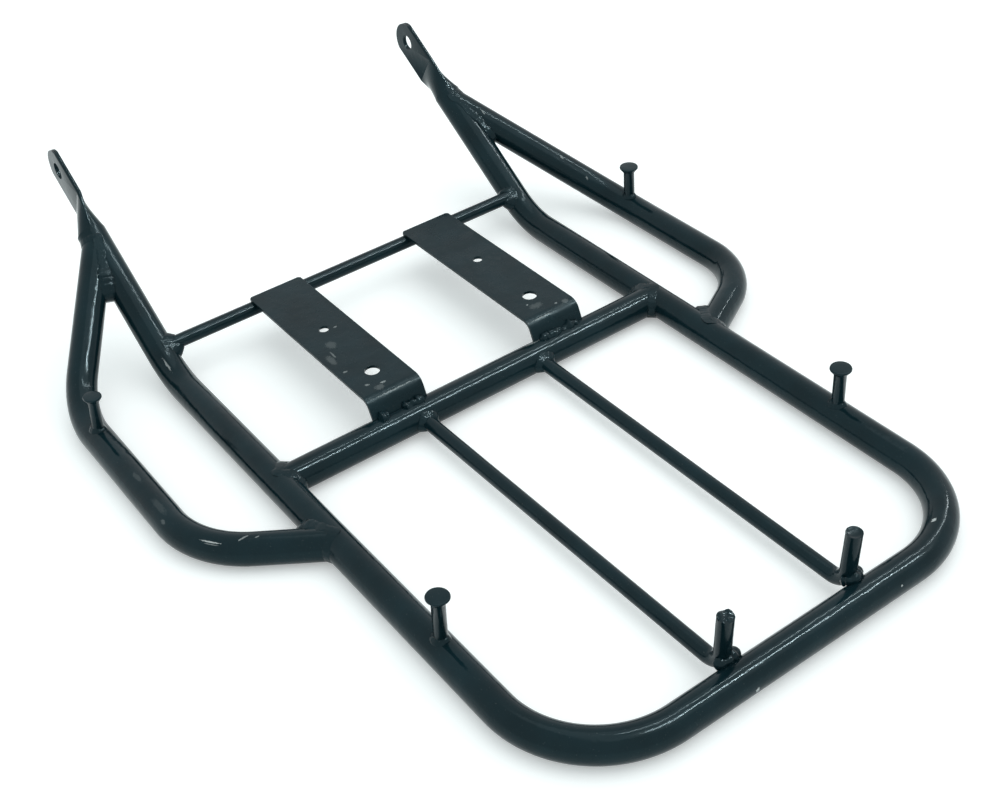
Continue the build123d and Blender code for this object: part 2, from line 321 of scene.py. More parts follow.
# %% [markdown]
# The front rod is let into the arms. Each inner rod runs back from the cross tube and turns
# up as a short post, just clear of the rear tube. One post was sawn clean and is a little
# dished; the other was broken off and left ragged.

# %% Rods
rod_sides = 28
rod_past_bend = 0.0198
rod_above = 0.004
rod_path = bent_path([arm_point(side, rod_past_bend, rod_above) for side in (-1, 1)], [])
round_stock("front_rod", rod_path, rod_radius, rod_sides, "rod_paint", ("front_cross_rod",))

inner_rod_start = cross_tube_forward - 0.004
post_lean = math.radians(3)
post_turn = math.radians(90) - post_lean
post_bend_radius = 0.011
post_clearance = 0.0002
bend_centre_reach = tube_radius + rod_radius + post_bend_radius + post_clearance
bend_centre_forward = math.sqrt(bend_centre_reach**2 - post_bend_radius**2)
post_forward = bend_centre_forward - post_bend_radius * math.tan(post_turn / 2)
posts = {
    "left": {"x": -0.0437, "shift": 0.0028, "height": 0.046},
    "right": {"x": 0.0437, "shift": 0.0009, "height": 0.0468},
}
dish_steps = ((0.0003, 0.0), (0.0007, -0.0003), (0.0012, -0.0003), (0.0010, -0.0001))
torn_zone = 0.0006
torn_height = 0.0011
torn_sink = 0.0004


def inner_path(x, shift, height):
    """An inner rod's centreline, with its post leaning back over the rear tube."""
    back = (height - tube_radius) * math.tan(post_lean)
    return bent_path(
        [
            at(x, inner_rod_start, tube_radius),
            at(x + shift, post_forward, tube_radius),
            at(x + shift, post_forward - back, height),
        ],
        [post_bend_radius],
        bend_step=0.001,
        run_step=0.004,
    )


def inner_rod(name, ragged):
    """An inner rod with its post, the top either dished or ragged."""
    path = inner_path(**posts[name])
    work = bmesh.new()
    draw_ring(work, path, lambda index, angle: rod_radius, rod_sides)
    top = max(work.faces, key=lambda face: face.calc_center_median().z)
    for width, depth in dish_steps:
        bmesh.ops.inset_region(work, faces=[top], thickness=width, depth=0.0 if ragged else depth)
    if ragged:
        for vert in work.verts:
            if vert.co.z > path[-1].z - torn_zone:
                rough = noise.noise(vert.co * 420) + 0.5 * noise.noise(vert.co * 1100)
                vert.co.z += torn_height * rough - torn_sink
    new_piece(f"{name}_rod_and_post", work, "rod_paint", (f"{name}_inner_rod",))
    return path[-1]


post_tops = {"left": inner_rod("left", ragged=True), "right": inner_rod("right", ragged=False)}
print("post tops:", {name: [round(c, 4) for c in top] for name, top in post_tops.items()})

# %% [markdown]
# The pegs are turned: a profile is spun about the peg's own axis. A countersunk head has a
# sharp rim that the paint rounds off, and a face that is very slightly domed. Two pegs stand
# a little aslant, as they were welded.

# %% Pegs
shank_radius = 0.00375
shank_start = tube_radius * 0.6
head_profile = [
    (shank_radius, -0.0046),
    (0.0061, -0.0014),
    (0.0064, -0.0010),
    (0.0064, -0.0005),
    (0.0062, -0.0001),
    (0.0056, 0.0),
    (0.0030, 0.0001),
    (0.0, 0.0001),
]


def peg(name, foot, height, lean, head, node):
    """A headed peg, spun from its profile and set leaning on its tube."""
    top = height - foot.z
    profile = [(0.0, shank_start), (shank_radius, shank_start)]
    profile += [(radius * head, top + level) for radius, level in head_profile]
    work = bmesh.new()
    verts = [bmesh.ops.create_vert(work, co=(radius, 0, level))["vert"][0] for radius, level in profile]
    for first, second in zip(verts, verts[1:]):
        bmesh.ops.contextual_create(work, geom=[first, second])
    bmesh.ops.spin(
        work,
        geom=work.verts[:] + work.edges[:],
        cent=(0, 0, 0),
        axis=(0, 0, 1),
        angle=2 * math.pi,
        steps=36,
        use_merge=True,
    )
    bmesh.ops.remove_doubles(work, verts=work.verts[:], dist=1e-6)
    place = Matrix.Translation(foot) @ Matrix.Rotation(lean, 4, "Y")
    bmesh.ops.transform(work, matrix=place, verts=work.verts[:])
    new_piece(name, work, "peg_paint", (node,))


def on_path(path, forward):
    """The place where a path that runs to the rear passes a distance ahead of the rear tube."""
    y = rear_y + forward
    for first, second in zip(path, path[1:]):
        if second.y <= y <= first.y:
            return first.lerp(second, (y - first.y) / (second.y - first.y))


# foot, height of the head, lean and size of the head
pegs = {
    "left_rail_peg": (at(-rail_x, 0.1075, tube_radius), 0.047, math.radians(2.8), 1.0),
    "right_rail_peg": (at(rail_x, 0.1095, tube_radius), 0.0443, 0.0, 1.0),
    "left_side_peg": (on_path(side_paths["left"], 0.378), 0.042, math.radians(5.0), 0.86),
    "right_side_peg": (on_path(side_paths["right"], 0.368), 0.043, 0.0, 1.0),
}
for node, (foot, height, lean, head) in pegs.items():
    peg(node.replace("peg", "turned_peg"), foot, height, lean, head, node)
print("peg heights in metres:", {node: place[1] for node, place in pegs.items()})


# %% [markdown]
# The lugs and the plates are sheet, so their faces stay flat and only their edges are
# softened, by sawing, filing and thick paint. A merged copy of each constructed piece gets
# a narrow bevel, and its face normals are weighted so that the flats shade flat. The plates
# first lose the edges that cross their flat faces, which would shade as a fan of thin lines.

# %% Lugs and plates
def softened(node, slot, width):
    """A merged copy of a constructed piece, with softened edges."""
    work = bmesh.new()
    work.from_mesh(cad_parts[node].data)
    bmesh.ops.remove_doubles(work, verts=work.verts[:], dist=1e-6)
    if slot == "plate_paint":
        bmesh.ops.dissolve_limit(work, angle_limit=0.01, verts=work.verts[:], edges=work.edges[:])
    piece = new_piece(f"{node}_soft", work, slot, (node,))
    edge = piece.modifiers.new("softened edges", "BEVEL")
    edge.width = width
    edge.segments = 2
    edge.limit_method = "ANGLE"
    edge.angle_limit = sharp_angle
    weighted = piece.modifiers.new("flat faces", "WEIGHTED_NORMAL")
    weighted.keep_sharp = False
    return piece


soft_pieces = []
for side in ("left", "right"):
    soft_pieces.append(softened(f"{side}_lug", "tube_paint", width=0.00045))
    soft_pieces.append(softened(f"{side}_mounting_plate", "plate_paint", width=0.00030))
print("softened pieces:", [piece.name for piece in soft_pieces])

# %% [markdown]
# A hand-laid weld bead is a row of frozen puddles, here smoothed over by thick paint. The bead
# follows the seam, half buried in the metal on both sides. It is cut off square to the way
# out of the corner, so that it fills the corner as a fillet and lies low where the two
# surfaces run level. Where two tubes meet at a sharp angle the welder filled the crotch.

# %% Weld beads
bead_seed = random.Random(11)
bead_sides = 20
ripple_pitch = 0.0027
pitch_spread = 0.0006
stagger_scale = 210
swell_scale = 190
uneven_scale = 260
grain_scale = 800
end_taper = 0.0025
above_table = 0.0004
level_fill = 0.14
corner_fill = 2.2
full_fill = 0.82


def facing_out(seam, first, second):
    """At each point of a seam: the way out of the corner, and how high the fill stands."""
    ways = []
    for spot in seam:
        total = Vector()
        for point, direction in (first, second):
            away = spot - point
            total += (away - direction * away.dot(direction)).normalized()
        height = min(full_fill, level_fill + corner_fill * (1.0 - total.length / 2))
        ways.append((total.normalized(), height))
    return ways


def bead(name, seam, replaced, size, ripple, lumps, facing=(), crotch=0.0):
    """An uneven bead along a seam; with facing it is a closed fillet that fills the corner."""
    closed = bool(facing)
    stations = frames_along(seam, closed)
    travelled = [0.0]
    for first, second in zip(seam, seam[1:]):
        travelled.append(travelled[-1] + (second - first).length)
    length = travelled[-1]
    pitch = ripple_pitch + bead_seed.random() * pitch_spread
    shift = bead_seed.random() * 50
    ripples = max(3, round(length / pitch))

    def radius_at(index, angle):
        spot = seam[index]
        stagger = 0.55 * noise.noise(spot * stagger_scale + Vector((0, shift, 0)))
        phase = (travelled[index] / length * ripples + stagger) % 1.0
        rippled = 1.0 + ripple * (math.sin(math.pi * phase) ** 0.8 - 0.6)
        swell = lumps * noise.noise(spot * swell_scale + Vector((shift, 0, 0)))
        around = Vector((math.cos(angle), math.sin(angle), shift))
        uneven = 0.30 * noise.noise(spot * uneven_scale + around * 0.9)
        grain = 0.05 * noise.noise(spot * grain_scale + around)
        filled = crotch * max(0.0, math.cos(2 * math.pi * index / len(seam))) ** 4
        radius = size * (rippled + filled + swell + uneven + grain)
        if closed:
            way, height = facing[index]
            side, up = stations[index][1:]
            outward = (side * math.cos(angle) + up * math.sin(angle)).dot(way)
            crown = size * height * (rippled + filled + 0.6 * swell)
            return min(radius, crown / outward) if outward > 0.05 else radius
        end_gap = min(travelled[index], length - travelled[index])
        return radius * min(1.0, 0.35 + end_gap / end_taper)

    work = bmesh.new()
    draw_ring(work, seam, radius_at, bead_sides, closed)
    for vert in work.verts:
        vert.co.z = max(vert.co.z, above_table)
    new_piece(name, work, "weld_paint", replaced)


print("ripple pitch in millimetres:", ripple_pitch * 1000)


# %% [markdown]
# A seam is where one round surface runs into another. For two tubes of the same size it lies
# in the two planes that halve the angle between them. For a rod or a peg it is the rod's own
# circle, dropped on the tube. Both are worked out as points, in order round the joint.

# %% Seams
def tube_seam(joint, along, branch, count):
    """The closed seam where a tube ends on another of its own size."""
    along = along.normalized()
    branch = branch.normalized()
    angle = along.angle(branch)
    across = along.cross(branch).normalized()
    down = (along - branch * math.cos(angle)) / math.sin(angle)
    seam = []
    for i in range(count):
        turn = 2 * math.pi * i / count
        ring = down * math.cos(turn) + across * math.sin(turn)
        reach = (abs(math.cos(turn)) + math.cos(turn) * math.cos(angle)) / math.sin(angle)
        seam.append(joint + tube_radius * ring + branch * tube_radius * reach)
    return seam


def collar_seam(start, out, radius, axis, level, count, offset=0.0, first_turn=0.0):
    """The closed seam where a rod or peg stands out from a tube with the given axis."""
    seam = []
    for i in range(count):
        turn = first_turn + 2 * math.pi * i / count
        beside = offset + radius * math.sin(turn)
        reach = math.sqrt(tube_radius**2 - beside**2)
        ring = axis * math.cos(turn) + level * math.sin(turn)
        seam.append(start + ring * radius + out * reach)
    return seam


def seam_length(seam):
    """The length of a closed seam."""
    return sum((b - a).length for a, b in zip(seam, seam[1:] + seam[:1]))


right_axis = Vector((1, 0, 0))
forward_axis = Vector((0, 1, 0))
square_seam = tube_seam(cross_ends[0], -forward_axis, right_axis, 160)
print("seam of the cross tube in millimetres:", round(seam_length(square_seam) * 1000, 1))

# %% [markdown]
# Each joint of the frame gets its own weld. The welder laid a coarse, rippled bead on the
# upper left joint and smoother ones elsewhere, so each kind of bead has its own size, ripple
# and lumps, and a share of extra fill where its seam begins, in the sharp corner.

# %% Welds of the tubes
joint_looks = {
    "left_upper": {"size": 0.0031, "ripple": 0.16, "lumps": 0.30, "crotch": 2.0},
    "right_upper": {"size": 0.0031, "ripple": 0.06, "lumps": 0.16, "crotch": 0.7},
    "lower": {"size": 0.0031, "ripple": 0.10, "lumps": 0.28, "crotch": 1.2},
    "cross": {"size": 0.0037, "ripple": 0.05, "lumps": 0.28},
    "front_rod": {"size": 0.0031, "ripple": 0.06, "lumps": 0.35, "crotch": 0.6},
    "inner_rod": {"size": 0.0034, "ripple": 0.05, "lumps": 0.35},
    "peg": {"size": 0.0019, "ripple": 0.10, "lumps": 0.40},
}


def weld_side_tube(name, side, joint, bend, rail_joint):
    """The beads at the arm and at the rail end of a side tube."""
    top = arm_point(side, joint)
    leave = (at(side * side_x, bend, tube_radius) - top).normalized()
    seam = tube_seam(top, -arm_direction, leave, 190)
    facing = facing_out(seam, (top, arm_direction), (top, leave))
    replaced = (f"{name}_side_tube_upper_weld",)
    bead(f"{name}_upper_bead", seam, replaced, facing=facing, **joint_looks[f"{name}_upper"])

    bottom = at(side * rail_x, rail_joint, tube_radius)
    arrive = (side_paths[name][-3] - side_paths[name][-1]).normalized()
    seam = tube_seam(bottom, forward_axis, arrive, 170)
    facing = facing_out(seam, (bottom, forward_axis), (bottom, arrive))
    replaced = (f"{name}_side_tube_lower_weld",)
    bead(f"{name}_lower_bead", seam, replaced, facing=facing, **joint_looks["lower"])


def weld_cross_tube(name, side):
    """The bead where the cross tube meets a rail."""
    middle = at(side * rail_x, cross_tube_forward, tube_radius)
    seam = tube_seam(middle, -forward_axis, right_axis * -side, 160)
    facing = facing_out(seam, (middle, forward_axis), (middle, right_axis))
    replaced = (f"{name}_cross_tube_weld",)
    bead(f"{name}_cross_bead", seam, replaced, facing=facing, **joint_looks["cross"])


print("looks of the beads:", sorted(joint_looks))


# %% [markdown]
# Rods and pegs are thinner than the tube that they stand on, so their seams are small rings.
# The front rod meets the arms a little above their centrelines. The joints are welded in one
# order, left side first, because the beads share one row of random draws.

# %% Welds of the rods and pegs
def weld_front_rod(name, side):
    """The bead where the front rod is let into an arm."""
    rod_end = arm_point(side, rod_past_bend, rod_above)
    seam = collar_seam(
        rod_end,
        right_axis * -side,
        rod_radius,
        axis=arm_direction,
        level=arm_lift,
        count=80,
        offset=rod_above,
        first_turn=math.pi,
    )
    facing = facing_out(seam, (arm_point(side, 0), arm_direction), (rod_end, right_axis))
    replaced = (f"{name}_front_rod_weld",)
    bead(f"{name}_rod_bead", seam, replaced, facing=facing, **joint_looks["front_rod"])


def weld_inner_rod(name, x, shift):
    """The bead where an inner rod meets the cross tube."""
    start = at(x, cross_tube_forward, tube_radius)
    back = (at(x + shift, post_forward, tube_radius) - start).normalized()
    level = back.cross(right_axis).normalized()
    seam = collar_seam(start, back, rod_radius, right_axis, level, 70)
    facing = facing_out(seam, (start, right_axis), (start, back))
    replaced = (f"{name}_inner_rod_weld",)
    bead(f"{name}_inner_bead", seam, replaced, facing=facing, **joint_looks["inner_rod"])


def weld_peg(node, foot, lean):
    """The small bead round the base of a peg."""
    up = Vector((math.sin(lean), 0, math.cos(lean)))
    level = up.cross(forward_axis).normalized()
    seam = collar_seam(foot, up, shank_radius, forward_axis, level, 70)
    facing = facing_out(seam, (foot, forward_axis), (foot, up))
    name = node.replace("peg", "peg_bead")
    bead(name, seam, (f"{node}_weld",), facing=facing, **joint_looks["peg"])


for name, tube in side_tubes.items():
    side = tube["side"]
    weld_side_tube(name, side, tube["joint"], tube["bend"], tube["rail_joint"])
    weld_cross_tube(name, side)
    weld_front_rod(name, side)
    weld_inner_rod(name, posts[name]["x"], posts[name]["shift"])
for node, (foot, height, lean, head) in pegs.items():
    weld_peg(node, foot, lean)
print("closed beads:", sum(1 for name in finish_of if name.endswith("_bead")))

# %% [markdown]
# Where a post passes the rear tube the welder put a few heavy dabs on the tube's side only.
# They follow part of a ring round the post, higher on the tube than beside it.

# %% Post dabs
tack_looks = {
    "post": {"size": 0.0034, "ripple": 0.22, "lumps": 0.7},
    "lip": {"size": 0.0034, "ripple": 0.12, "lumps": 0.6},
    "front": {"size": 0.0019, "ripple": 0.30, "lumps": 0.5},
}
dab_height = 0.0155
dab_ring = 0.0050
dab_rise = 0.0022
dab_steps = 33
dab_start = math.radians(-22)
dab_sweep = math.radians(196)
for name, post in posts.items():
    middle = at(post["x"] + post["shift"], post_forward, dab_height)
    seam = []
    for i in range(dab_steps + 1):
        turn = dab_start + dab_sweep * i / dab_steps
        ring = Vector((math.cos(turn), -math.sin(turn), 0)) * dab_ring
        seam.append(middle + ring + Vector((0, 0, dab_rise * math.sin(turn))))
    bead(f"{name}_post_dabs", seam, (f"{name}_post_weld",), **tack_looks["post"])
print("dab height in millimetres:", dab_height * 1000)

# %% [markdown]
# The plates are tacked along their turned-down lips and under their front edges. The lip of
# the left plate has a short tack and a longer one, the right plate one long run.

# %% Plate tacks
plates_shift = 0.0048
plate_half_spacing = 0.05925
plate_middle = {
    "left": plates_shift - plate_half_spacing,
    "right": plates_shift + plate_half_spacing,
}
tack_step = 0.0004
tack_wander = 0.0006
tack_set = Vector((0, -0.0016, -0.0002))
lip_ahead = 0.0035
lip_height = tube_radius + math.sqrt(tube_radius**2 - lip_ahead**2)
lip_tacks = {
    "left_outer_tack": ("left", -0.016, 0.008, "left_plate_outer_weld"),
    "left_inner_tack": ("left", 0.001, 0.015, "left_plate_inner_weld"),
    "right_rear_tack": ("right", -0.015, 0.030, "right_plate_rear_weld"),
}
for name, (plate, start, length, node) in lip_tacks.items():
    count = round(length / tack_step)
    seam = []
    for i in range(count + 1):
        wander = tack_wander * noise.noise(Vector((i * 0.12, start * 300, 0)))
        x = plate_middle[plate] + start + length * i / count
        place = at(x, cross_tube_forward + lip_ahead, lip_height)
        seam.append(place + tack_set + Vector((0, wander, wander)))
    bead(name, seam, (node,), **tack_looks["lip"])

front_tack_steps = 60
front_tack_half = 0.0127
front_tack_sink = 0.0006
front_tack_forward = rod_path[0].y - rear_y - rod_radius
front_tack_height = rod_path[0].z + rod_radius - front_tack_sink
for name, middle in plate_middle.items():
    seam = []
    for i in range(front_tack_steps + 1):
        x = middle + front_tack_half * (2 * i / front_tack_steps - 1)
        seam.append(at(x, front_tack_forward, front_tack_height))
    bead(f"{name}_front_tack", seam, (f"{name}_plate_front_weld",), **tack_looks["front"])
print("tacks and dabs:", sum(1 for name in finish_of if name.endswith(("_tack", "_dabs"))))


# %% [markdown]
# The paint is built from a few kinds of node, joined over and over: noise on the piece's own
# coordinates, a smooth step from one range to another, a sum, and a flat colour laid over
# what is under it. Small helpers make these, so that the paint itself reads as a recipe.

# %% Node helpers
def noise_node(nodes, links, place, scale, detail=2.0, roughness=0.5):
    """A noise texture on the piece's own coordinates."""
    texture = nodes.new("ShaderNodeTexNoise")
    texture.inputs["Scale"].default_value = scale
    texture.inputs["Detail"].default_value = detail
    texture.inputs["Roughness"].default_value = roughness
    links.new(place, texture.inputs["Vector"])
    return texture


def ramp_between(nodes, links, value, low, high, out_low, out_high):
    """Map a value smoothly from one range to another."""
    mapped = nodes.new("ShaderNodeMapRange")
    mapped.interpolation_type = "SMOOTHSTEP"
    for socket, number in zip(
        ("From Min", "From Max", "To Min", "To Max"), (low, high, out_low, out_high)
    ):
        mapped.inputs[socket].default_value = number
    links.new(value, mapped.inputs["Value"])
    return mapped.outputs["Result"]


def wire_up(links, step, values):
    """Give a node's inputs their values, each a link, a number or a vector."""
    for socket, value in zip(step.inputs, values):
        if isinstance(value, bpy.types.NodeSocket):
            links.new(value, socket)
        else:
            socket.default_value = value


def combine(nodes, links, kind, *values):
    """One arithmetic step on values."""
    step = nodes.new("ShaderNodeMath")
    step.operation = kind
    wire_up(links, step, values)
    return step.outputs[0]


def combine_vectors(nodes, links, kind, *values):
    """One arithmetic step on vectors."""
    step = nodes.new("ShaderNodeVectorMath")
    step.operation = kind
    wire_up(links, step, values)
    return step.outputs["Value" if kind == "LENGTH" else "Vector"]


def laid_over(nodes, links, under, amount, colour):
    """A flat colour laid over what is under it, as far as the amount says."""
    mix = nodes.new("ShaderNodeMix")
    mix.data_type = "RGBA"
    links.new(amount, mix.inputs["Factor"])
    links.new(under, mix.inputs["A"])
    mix.inputs["B"].default_value = (*colour, 1)
    return mix.outputs["Result"]


def bumped(nodes, links, height, strength, distance):
    """A bump node that raises the surface by a height."""
    bump = nodes.new("ShaderNodeBump")
    bump.inputs["Strength"].default_value = strength
    bump.inputs["Distance"].default_value = distance
    links.new(height, bump.inputs["Height"])
    return bump


print("node helpers ready")

# %% [markdown]
# Wear has its places: chips where the rack was knocked, scratches and scuffs, and rubbed lugs.
# Other marks are painted highlights: two thin lines on the left bend, dashes down the right
# side tube, glints on the cross tube above the rods, and bright lines along the plates' folds.
# Each mark is an ellipsoid with a centre, half sizes and a strength.

# %% Worn places and painted highlights
tube_wear_and_highlights = {
    "low chip on the rear tube": ((-0.0375, -0.2810, 0.0090), (0.0012, 0.0010, 0.0018), 0.9),
    "chip on the rear corner": ((0.1059, -0.2619, 0.0184), (0.0016, 0.0013, 0.0012), 0.9),
    "speck on the rear tube": ((0.0619, -0.2803, 0.0130), (0.0007, 0.0006, 0.0008), 0.8),
    # painted highlight: two thin light lines on the left bend, standing in for a reflection
    "painted highlight on the left bend": ((-0.1958, -0.0256, 0.0176), (0.0068, 0.0068, 0.00026), 0.85),
    "fainter painted highlight below it": ((-0.1953, -0.0262, 0.0169), (0.0052, 0.0052, 0.00018), 0.40),
    "dash behind the painted highlight": ((-0.1809, -0.0360, 0.0189), (0.0035, 0.0006, 0.0010), 0.45),
    "dot behind the dash": ((-0.1745, -0.0400, 0.0188), (0.0015, 0.0005, 0.0010), 0.40),
    "front rub on the left side": ((-0.2037, 0.0491, 0.0190), (0.0016, 0.0060, 0.0010), 0.06),
    "rear rub on the left side": ((-0.2084, 0.0065, 0.0171), (0.0012, 0.0024, 0.0012), 0.13),
    "long rub on the left side": ((-0.2050, 0.0180, 0.0188), (0.0022, 0.0090, 0.0012), 0.05),
    # painted highlight: three light dashes down the right side tube
    "high painted highlight on the right side": ((0.1494, 0.1958, 0.0667), (0.0006, 0.0024, 0.0018), 0.40),
    "middle painted highlight on the right side": ((0.1796, 0.1444, 0.0394), (0.0010, 0.0026, 0.0018), 0.40),
    "low painted highlight on the right side": ((0.1864, 0.1249, 0.0278), (0.0008, 0.0018, 0.0014), 0.35),
    "streak on the left arm": ((-0.1433, 0.1325, 0.0212), (0.0007, 0.0060, 0.0060), 0.45),
    # painted highlight: glints on the cross tube above the inner rods
    "painted glint above the right rod": ((0.0437, 0.0020, 0.0180), (0.0065, 0.0012, 0.0016), 0.35),
    "painted glint above the left rod": ((-0.0437, 0.0020, 0.0180), (0.0050, 0.0010, 0.0014), 0.25),
}
tube_marks = list(tube_wear_and_highlights.values())
# distance along the arm and height above its centreline
lug_rubs = ((0.150, 0.006), (0.158, -0.009), (0.168, 0.004), (0.137, -0.004))
lug_face = Vector((-0.0015, 0, 0))
for side in (-1, 1):
    for distance, above in lug_rubs:
        spot = arm_point(side, distance, above) + lug_face
        tube_marks.append((spot, (0.003, 0.0035, 0.0012), 0.12))

plate_top = 0.0305
mark_depth = 0.0010
# place across and along, half width, half length and strength
plate_wear = {
    "front scratch, left": (-0.0480, 0.0848, 0.0014, 0.0008, 0.5),
    "long scratch, left": (-0.0644, 0.0601, 0.0007, 0.0040, 0.4),
    "chip at the outer edge, left": (-0.0679, 0.0403, 0.0016, 0.0010, 0.5),
    "outer chip behind the hole, left": (-0.0647, 0.0205, 0.0016, 0.0011, 0.6),
    "large chip behind the hole, left": (-0.0559, 0.0167, 0.0022, 0.0009, 0.8),
    "speck behind the hole, right": (0.0562, 0.0233, 0.0008, 0.0006, 0.9),
    "chip near the crease, right": (0.0712, 0.0128, 0.0012, 0.0008, 0.7),
    "rub near the crease, left": (-0.0600, 0.0140, 0.0034, 0.0026, 0.20),
    "long rub, left": (-0.0680, 0.0560, 0.0024, 0.0060, 0.18),
    "front rub, left": (-0.0600, 0.0700, 0.0034, 0.0044, 0.15),
    "rub behind the hole, right": (0.0600, 0.0190, 0.0050, 0.0030, 0.16),
    "rub at the corner, right": (0.0770, 0.0110, 0.0026, 0.0020, 0.25),
}
# painted highlight: a light line along each plate's fold
plate_crease_highlights = [
    ((-0.0530, 0.0078, 0.0298), (0.0170, 0.0005, 0.0012), 0.75),
    ((0.0560, 0.0080, 0.0298), (0.0110, 0.0005, 0.0012), 0.70),
]
plate_marks = plate_crease_highlights + [
    ((x, y, plate_top), (half_width, half_length, mark_depth), strength)
    for x, y, half_width, half_length, strength in plate_wear.values()
]
print("marks on the tubes and plates:", len(tube_marks), len(plate_marks))

# %% [markdown]
# A chip is never a clean oval. The mask measures how far a point lies from each mark, in
# the mark's own half sizes. Coarse noise first warps the place, and fine noise then eats
# into the edge, so that every outline is ragged.

# %% Where the paint is worn or a highlight is painted
warp_scale = 420.0
warp_reach = 0.0012
mark_edge = 2.10
mark_bite = 2.4


def worn_and_highlight_mask(nodes, links, place, marks):
    """Where the paint is rubbed or chipped, or a highlight is painted: near each mark, broken up by
    noise.
    """
    grain = noise_node(nodes, links, place, scale=1300.0, detail=4.0, roughness=0.7).outputs["Fac"]
    ragged = combine(nodes, links, "MULTIPLY", grain, mark_bite)
    warp = noise_node(nodes, links, place, warp_scale).outputs["Color"]
    reach = (warp_reach, warp_reach, 0.0)
    shifted = combine_vectors(nodes, links, "MULTIPLY_ADD", warp, reach, place)
    centred = combine_vectors(nodes, links, "SUBTRACT", shifted, [part / 2 for part in reach])
    total = None
    for centre, size, strength in marks:
        apart = combine_vectors(nodes, links, "SUBTRACT", centred, centre)
        stretched = combine_vectors(nodes, links, "DIVIDE", apart, size)
        length = combine_vectors(nodes, links, "LENGTH", stretched)
        near = combine(nodes, links, "SUBTRACT", mark_edge, length)
        near = combine(nodes, links, "SUBTRACT", near, ragged)
        spot = ramp_between(nodes, links, near, 0.0, 0.15, 0.0, strength)
        total = spot if total is None else combine(nodes, links, "MAXIMUM", total, spot)
    return total


print("largest shift of a mark's outline in millimetres:", warp_reach / 2 * 1000)

# %% [markdown]
# Thick gloss paint on steel is nearly black. It mirrors the white room at a few per cent,
# tinted cold, and its surface is never quite flat: a slow waviness, a fine orange peel and
# settled dust. The plates are scuffed as well, and duller. Over a weld the peel is coarse.

# %% Paint
black = (0.0040, 0.0143, 0.0187)
dust_grey = (0.10, 0.11, 0.11)
scuff_grey = (0.045, 0.052, 0.052)
# the colour of chips, also used for the painted highlights on the tubes
chip_and_highlight_grey = (0.5, 0.52, 0.52)
# the colour of the plates' wear, also used for the painted highlights along their folds
plate_grey = (0.30, 0.32, 0.32)
mirror_tint = (0.70, 0.93, 1.0, 1.0)


def gloss_paint(name, roughness, marks=(), mark_colour=chip_and_highlight_grey, scuffs=0.0, peel=0.12):
    """Thick black paint with waviness, orange peel, dust, worn marks and painted highlights."""
    material = bpy.data.materials.new(name)
    material.use_nodes = True
    nodes, links = material.node_tree.nodes, material.node_tree.links
    shader = nodes["Principled BSDF"]
    place = nodes.new("ShaderNodeTexCoord").outputs["Object"]
    shader.inputs["Specular IOR Level"].default_value = 0.18
    shader.inputs["Specular Tint"].default_value = mirror_tint

    cloud = noise_node(nodes, links, place, scale=38.0, detail=3.0).outputs["Fac"]
    tone = nodes.new("ShaderNodeValToRGB")
    for stop, position, level in zip(tone.color_ramp.elements, (0.3, 0.7), (0.75, 1.25)):
        stop.position = position
        stop.color = (*[part * level for part in black], 1)
    links.new(cloud, tone.inputs["Fac"])
    finish = tone.outputs["Color"]

    dust = noise_node(nodes, links, place, scale=1500.0).outputs["Fac"]
    dust = ramp_between(nodes, links, dust, 0.70, 0.76, 0.0, 0.55)
    finish = laid_over(nodes, links, finish, dust, dust_grey)

    rough = noise_node(nodes, links, place, scale=90.0, detail=4.0).outputs["Fac"]
    rough = ramp_between(nodes, links, rough, 0.3, 0.7, roughness * 0.7, roughness * 1.5)
    if scuffs:
        streak = noise_node(nodes, links, place, scale=260.0, detail=6.0, roughness=0.75).outputs["Fac"]
        patch = noise_node(nodes, links, place, scale=45.0).outputs["Fac"]
        scuff = combine(nodes, links, "MULTIPLY", streak, patch)
        scuff = ramp_between(nodes, links, scuff, 0.36, 0.45, 0.0, scuffs)
        finish = laid_over(nodes, links, finish, scuff, scuff_grey)
    if marks:
        # chips and wear, and the painted highlights, laid over the paint as a lighter colour
        worn_and_highlighted = worn_and_highlight_mask(nodes, links, place, marks)
        finish = laid_over(nodes, links, finish, worn_and_highlighted, mark_colour)
        dull = combine(nodes, links, "MULTIPLY", worn_and_highlighted, 0.6)
        rough = combine(nodes, links, "MAXIMUM", rough, dull)
    links.new(finish, shader.inputs["Base Color"])
    links.new(rough, shader.inputs["Roughness"])

    slow = noise_node(nodes, links, place, scale=120.0).outputs["Fac"]
    fine = noise_node(nodes, links, place, scale=1100.0).outputs["Fac"]
    wave = bumped(nodes, links, slow, strength=0.35, distance=0.0006)
    orange_peel = bumped(nodes, links, fine, strength=peel, distance=0.0002)
    links.new(wave.outputs["Normal"], orange_peel.inputs["Normal"])
    links.new(orange_peel.outputs["Normal"], shader.inputs["Normal"])
    return material


paints = {
    "tube_paint": gloss_paint("tube_paint", 0.11, tube_marks),
    "rod_paint": gloss_paint("rod_paint", 0.14),
    "plate_paint": gloss_paint("plate_paint", 0.26, plate_marks, plate_grey, scuffs=0.25),
    "peg_paint": gloss_paint("peg_paint", 0.15),
    "weld_paint": gloss_paint("weld_paint", 0.11, peel=0.55),
}
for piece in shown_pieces():
    if not piece.data.materials:
        piece.data.materials.append(paints[finish_of[piece.name]])
print("paints:", sorted(paints))

# %% [markdown]
# The rack was photographed on a white table. The floor is pale and keeps the rack's soft
# shadows. Where the camera sees it, itself or mirrored in the paint, a little of its own
# light lifts it, so that it burns out to white and adds no light to the rack.

